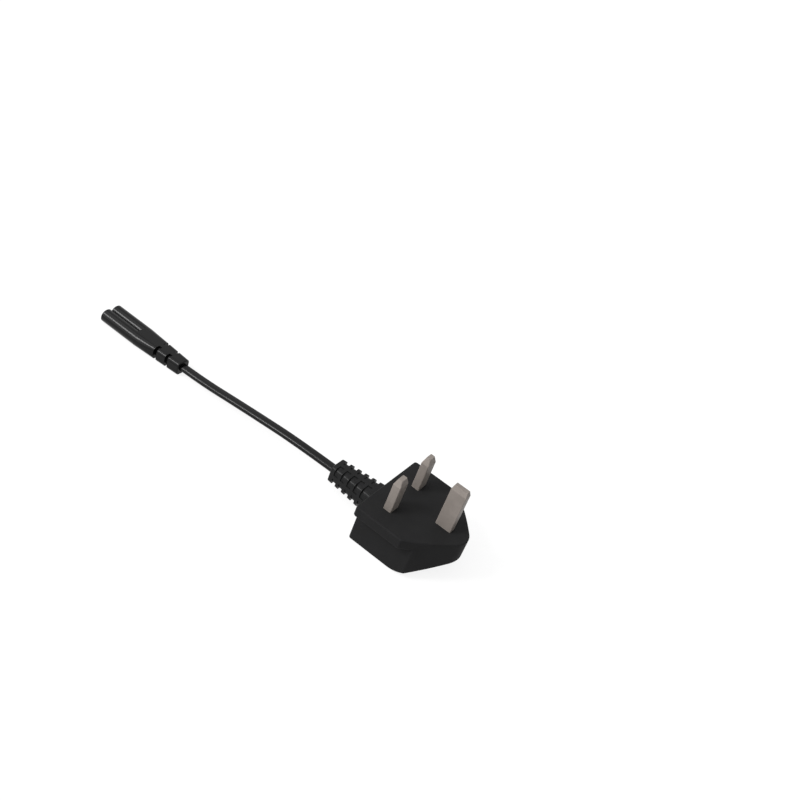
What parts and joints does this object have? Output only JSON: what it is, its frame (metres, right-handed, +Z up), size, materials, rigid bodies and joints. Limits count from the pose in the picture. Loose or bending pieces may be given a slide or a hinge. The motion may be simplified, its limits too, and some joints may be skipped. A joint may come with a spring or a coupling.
{
  "type": "power cord",
  "caption": "Short mains lead: a flat-pin wall plug with a ribbed strain relief, a flat cord and a figure-eight appliance connector.",
  "frame": {"origin": "on the floor, on the flat back of the plug, in its plane of symmetry and straight below the line between the live and neutral pins", "axes": "+Z up, the way the pins point; +Y toward the earth pin; the cord leaves toward -Y; +X toward the neutral pin"},
  "size_m": [0.0472, 0.22, 0.0462],
  "materials": {
    "plug_plastic": "black moulded, fine matte grain",
    "connector_plastic": "black moulded, semi-gloss",
    "insert_plastic": "black, hard and smooth",
    "cord_plastic": "black soft sheath, slight sheen",
    "pin_metal": "plated, satin grey",
    "carrier_plastic": "hard pale grey moulding",
    "fuse_ceramic": "pale ceramic",
    "fuse_wire_metal": "drawn wire",
    "fuse_cap_metal": "plated, bright",
    "clip_brass": "rolled strip",
    "contact_brass": "turned",
    "conductor_copper": "stranded copper",
    "live_core_plastic": "brown insulation",
    "neutral_core_plastic": "blue insulation"
  },
  "bodies": {
    "root": {"plug_body": "plug_plastic", "pin_carrier": "carrier_plastic", "live_pin": "pin_metal", "neutral_pin": "pin_metal", "earth_pin": "pin_metal", "fuse_tube": "fuse_ceramic", "fuse_wire": "fuse_wire_metal", "fuse_cap_near": "fuse_cap_metal", "fuse_cap_far": "fuse_cap_metal", "fuse_clip_live_pin": "clip_brass", "fuse_clip_cord": "clip_brass", "neutral_terminal": "clip_brass", "cord_sheath": "cord_plastic", "live_core_insulation": "live_core_plastic", "neutral_core_insulation": "neutral_core_plastic", "live_conductor": "conductor_copper", "neutral_conductor": "conductor_copper", "connector_body": "connector_plastic", "connector_insert": "insert_plastic", "live_contact": "contact_brass", "neutral_contact": "contact_brass"}
  },
  "joints": []
}
